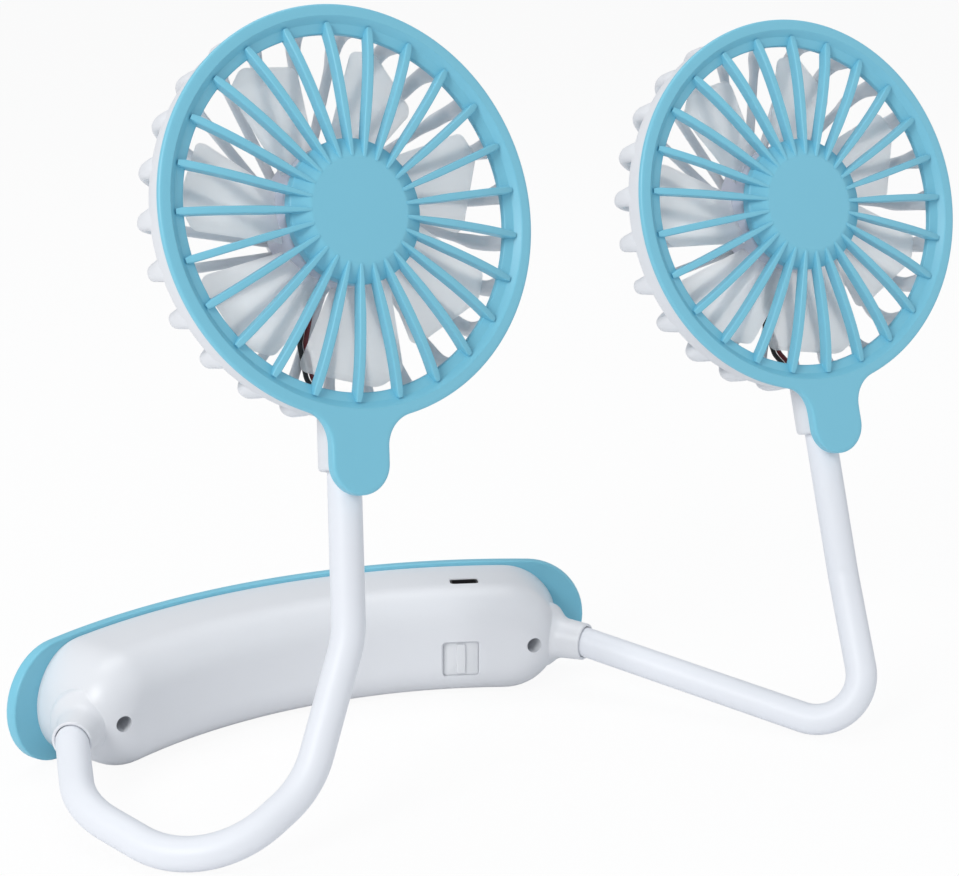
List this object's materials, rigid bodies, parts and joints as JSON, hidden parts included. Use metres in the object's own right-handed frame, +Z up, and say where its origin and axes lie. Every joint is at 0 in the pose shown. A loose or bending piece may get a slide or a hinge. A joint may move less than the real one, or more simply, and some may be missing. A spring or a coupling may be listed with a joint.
{
  "type": "neck fan",
  "caption": "Hands-free neck fan: curved battery pack, bendable white arms and round spoked fan heads with spinning impellers.",
  "frame": {"origin": "middle of the pack's flat underside, half way through its thickness", "axes": "+X along the pack towards the right fan as seen from the front, +Y to the back cover, +Z up"},
  "size_m": [0.2513, 0.108, 0.1867],
  "materials": {
    "white_shell": "satin",
    "blue_plastic": "satin",
    "sleeve": "satin",
    "spring_steel": "satin",
    "cable_jacket": "satin",
    "lead_red": "satin",
    "blade": "translucent look",
    "motor_steel": "satin",
    "motor_cap": "matt",
    "winding": "satin",
    "bronze": "satin",
    "screw_steel": "bright",
    "cell_wrap": "satin",
    "board": "satin",
    "tin": "bright",
    "switch_black": "matt",
    "button_grey": "satin"
  },
  "bodies": {
    "pack": {"front_shell": "white_shell", "back_cover": "blue_plastic", "battery_cell": "cell_wrap", "circuit_board": "board", "charge_socket": "tin", "tact_switch": "switch_black", "board_screws": "screw_steel", "cover_screws": "screw_steel", "arm_ferrules": "tin", "pack_cables": "cable_jacket", "cell_leads": "lead_red", "left_core_root": "spring_steel", "right_core_root": "spring_steel"},
    "button": {"power_button": "button_grey"},
    "left_lower_arm": {"left_sleeve_lower": "sleeve", "left_core_lower": "spring_steel", "left_cable_lower": "cable_jacket"},
    "left_upper_arm": {"left_sleeve_upper": "sleeve", "left_core_upper": "spring_steel", "left_cable_upper": "cable_jacket"},
    "left_neck": {"left_sleeve_neck": "sleeve", "left_core_neck": "spring_steel", "left_cable_neck": "cable_jacket"},
    "left_head": {"left_sleeve_tip": "sleeve", "left_core_tip": "spring_steel", "left_cable_tip": "cable_jacket", "left_front_grille": "blue_plastic", "left_rear_cage": "white_shell", "left_motor_can": "motor_steel", "left_motor_cap": "motor_cap", "left_motor_bushes": "bronze", "left_motor_leads": "lead_red", "left_motor_screws": "screw_steel"},
    "left_rotor": {"left_impeller": "blade", "left_motor_rotor": "winding"},
    "right_lower_arm": {"right_sleeve_lower": "sleeve", "right_core_lower": "spring_steel", "right_cable_lower": "cable_jacket"},
    "right_upper_arm": {"right_sleeve_upper": "sleeve", "right_core_upper": "spring_steel", "right_cable_upper": "cable_jacket"},
    "right_neck": {"right_sleeve_neck": "sleeve", "right_core_neck": "spring_steel", "right_cable_neck": "cable_jacket"},
    "right_head": {"right_sleeve_tip": "sleeve", "right_core_tip": "spring_steel", "right_cable_tip": "cable_jacket", "right_front_grille": "blue_plastic", "right_rear_cage": "white_shell", "right_motor_can": "motor_steel", "right_motor_cap": "motor_cap", "right_motor_bushes": "bronze", "right_motor_leads": "lead_red", "right_motor_screws": "screw_steel"},
    "right_rotor": {"right_impeller": "blade", "right_motor_rotor": "winding"}
  },
  "joints": [
    {"name": "power_press", "type": "slide", "parent": "pack", "child": "button", "axis": [0.3665, 0.9304, 0], "range_m": [0, 0.0005], "stiffness_N_per_m": 900, "springref_m": -0.0006},
    {"name": "left_base_sweep", "type": "hinge", "parent": "pack", "child": "left_lower_arm", "pos_m": [-0.0715, -0.0315, 0.0145], "axis": [0, 0, 1], "range_deg": [-25, 25]},
    {"name": "left_elbow_fold", "type": "hinge", "parent": "left_lower_arm", "child": "left_upper_arm", "pos_m": [-0.02508, -0.08021, 0.03287], "axis": [0.9039, -0.1277, -0.4083], "range_deg": [-30, 30]},
    {"name": "left_neck_tilt", "type": "hinge", "parent": "left_upper_arm", "child": "left_neck", "pos_m": [-0.01676, -0.07207, 0.05872], "axis": [0.08, -0.953, 0.2924], "range_deg": [-18, 18]},
    {"name": "left_head_nod", "type": "hinge", "parent": "left_neck", "child": "left_head", "pos_m": [-0.01516, -0.06816, 0.07102], "axis": [0.9892, 0.0397, -0.1414], "range_deg": [-35, 35]},
    {"name": "left_impeller_spin", "type": "hinge", "parent": "left_head", "child": "left_rotor", "pos_m": [-0.0057, -0.0554, 0.1408], "axis": [0.08, -0.953, 0.2924], "continuous": true},
    {"name": "right_base_sweep", "type": "hinge", "parent": "pack", "child": "right_lower_arm", "pos_m": [0.0715, -0.0315, 0.0145], "axis": [0, 0, 1], "range_deg": [-25, 25]},
    {"name": "right_elbow_fold", "type": "hinge", "parent": "right_lower_arm", "child": "right_upper_arm", "pos_m": [0.12275, -0.08164, 0.02624], "axis": [0.9883, -0.0851, -0.1269], "range_deg": [-30, 30]},
    {"name": "right_neck_tilt", "type": "hinge", "parent": "right_upper_arm", "child": "right_neck", "pos_m": [0.12449, -0.07007, 0.05045], "axis": [-0.0301, -0.9588, 0.2823], "range_deg": [-18, 18]},
    {"name": "right_head_nod", "type": "hinge", "parent": "right_neck", "child": "right_head", "pos_m": [0.12404, -0.06638, 0.06291], "axis": [0.9989, -0.0191, 0.0418], "range_deg": [-35, 35]},
    {"name": "right_impeller_spin", "type": "hinge", "parent": "right_head", "child": "right_rotor", "pos_m": [0.1213, -0.0549, 0.1335], "axis": [-0.0301, -0.9588, 0.2823], "continuous": true}
  ]
}
